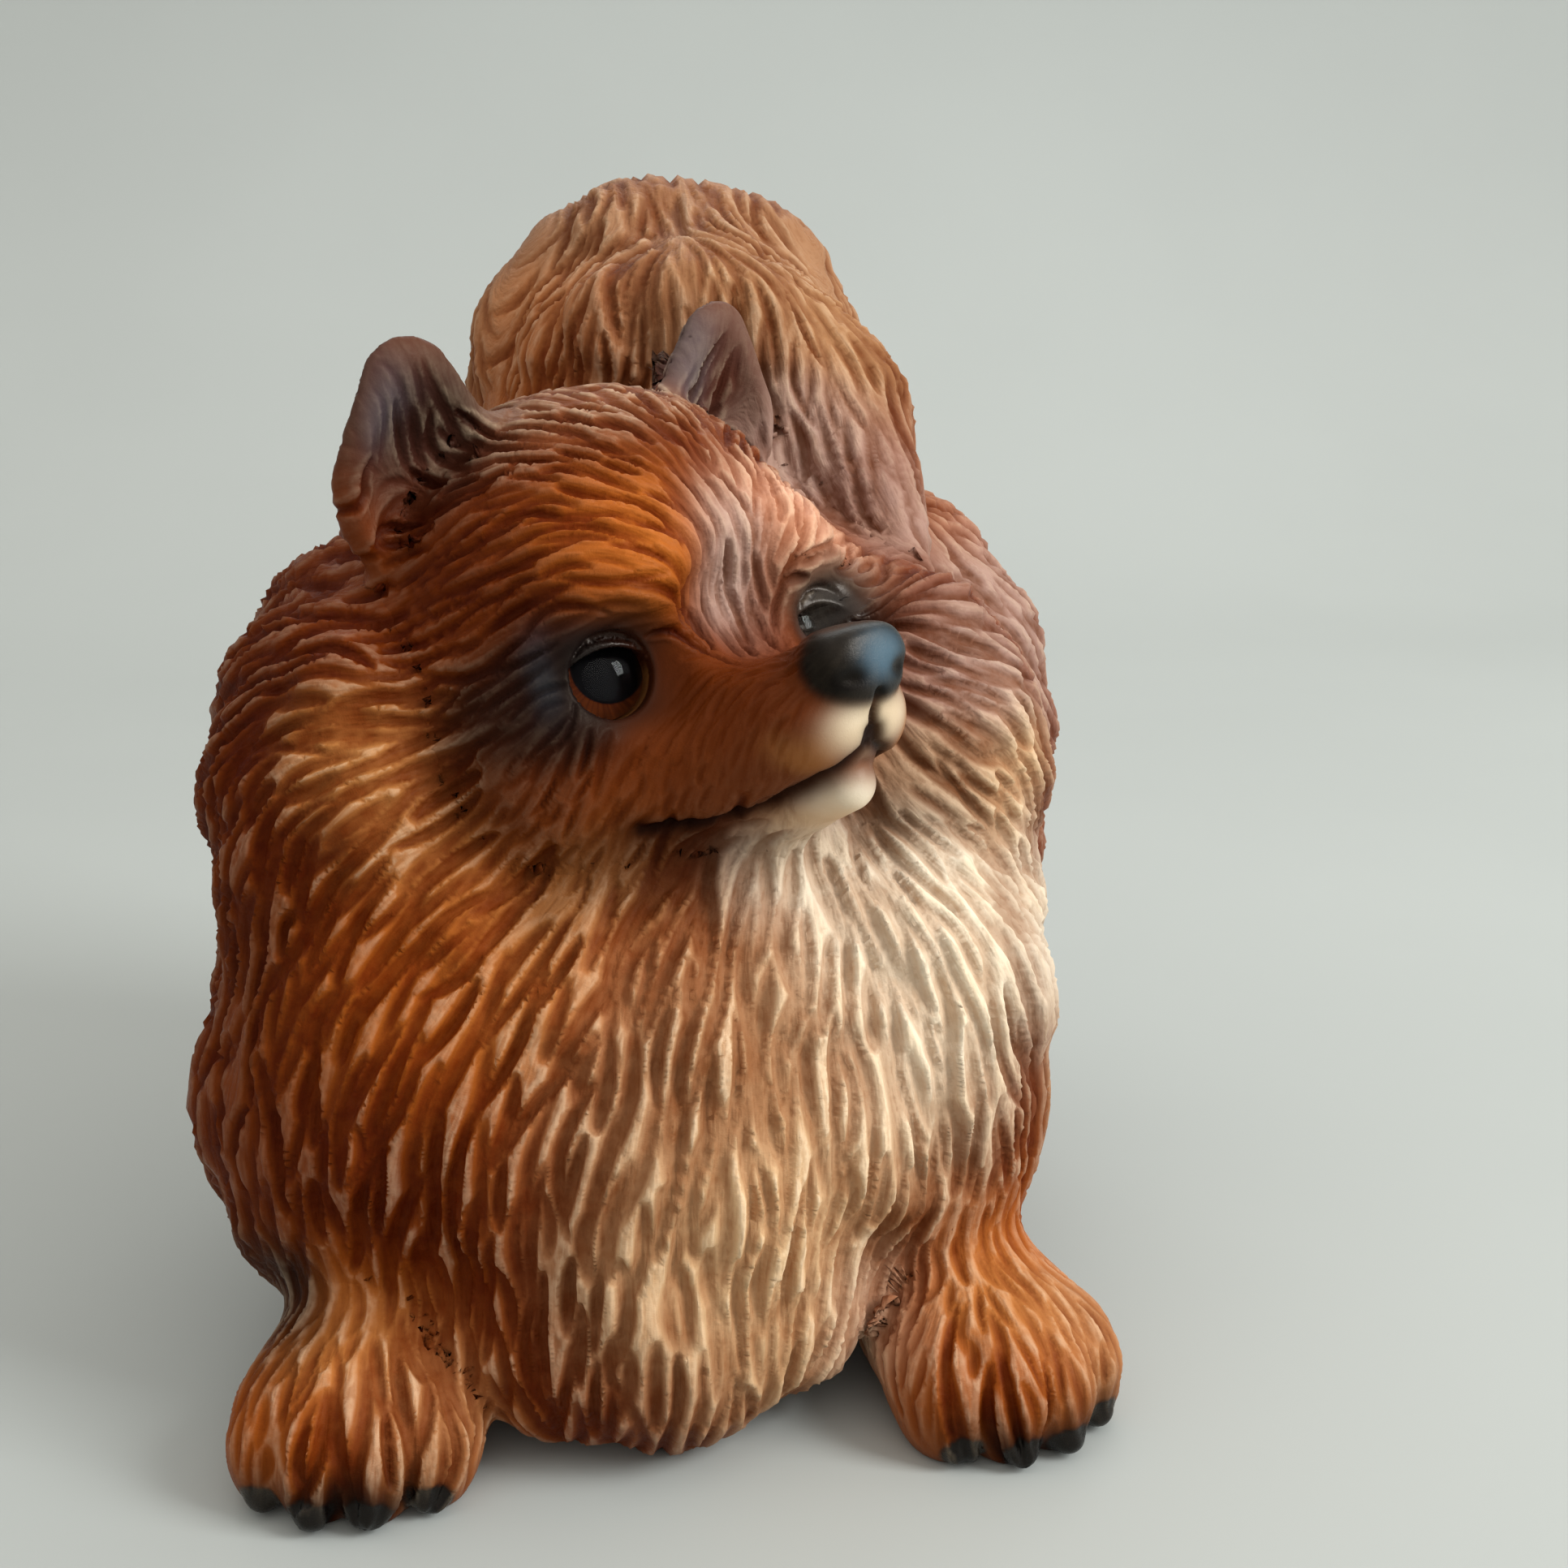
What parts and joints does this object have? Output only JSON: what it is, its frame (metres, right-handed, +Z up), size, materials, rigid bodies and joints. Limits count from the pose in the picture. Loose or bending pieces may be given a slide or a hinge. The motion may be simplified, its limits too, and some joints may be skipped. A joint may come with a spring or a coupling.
{
  "type": "dog figurine",
  "caption": "Hand-painted standing figurine of a fluffy toy-breed dog, head turned and raised, tail plumed over its back, with inset glass eyes.",
  "frame": {"origin": "on the ground under the middle of the whole figurine's box", "axes": "+Z up, the dog faces -Y, +X is the dog's left side"},
  "size_m": [0.1172, 0.1258, 0.143],
  "materials": {
    "painted_fur": "cast resin with modelled fur, airbrushed and dry-brushed, satin",
    "painted_face": "cast resin, airbrushed, satin, gloss on the nose",
    "painted_paw": "cast resin, airbrushed, satin, gloss on the claws",
    "eye_glass": "clear polished dome",
    "eye_paint": "painted iris and pupil, glossy"
  },
  "bodies": {
    "root": {"trunk_casting": "painted_fur", "head_casting": "painted_face", "right_ear": "painted_face", "left_ear": "painted_face", "tail_plume": "painted_fur", "right_foreleg": "painted_paw", "left_foreleg": "painted_paw", "right_hindleg": "painted_paw", "left_hindleg": "painted_paw", "right_eye_glass": "eye_glass", "right_eye_iris": "eye_paint", "left_eye_glass": "eye_glass", "left_eye_iris": "eye_paint"}
  },
  "joints": []
}
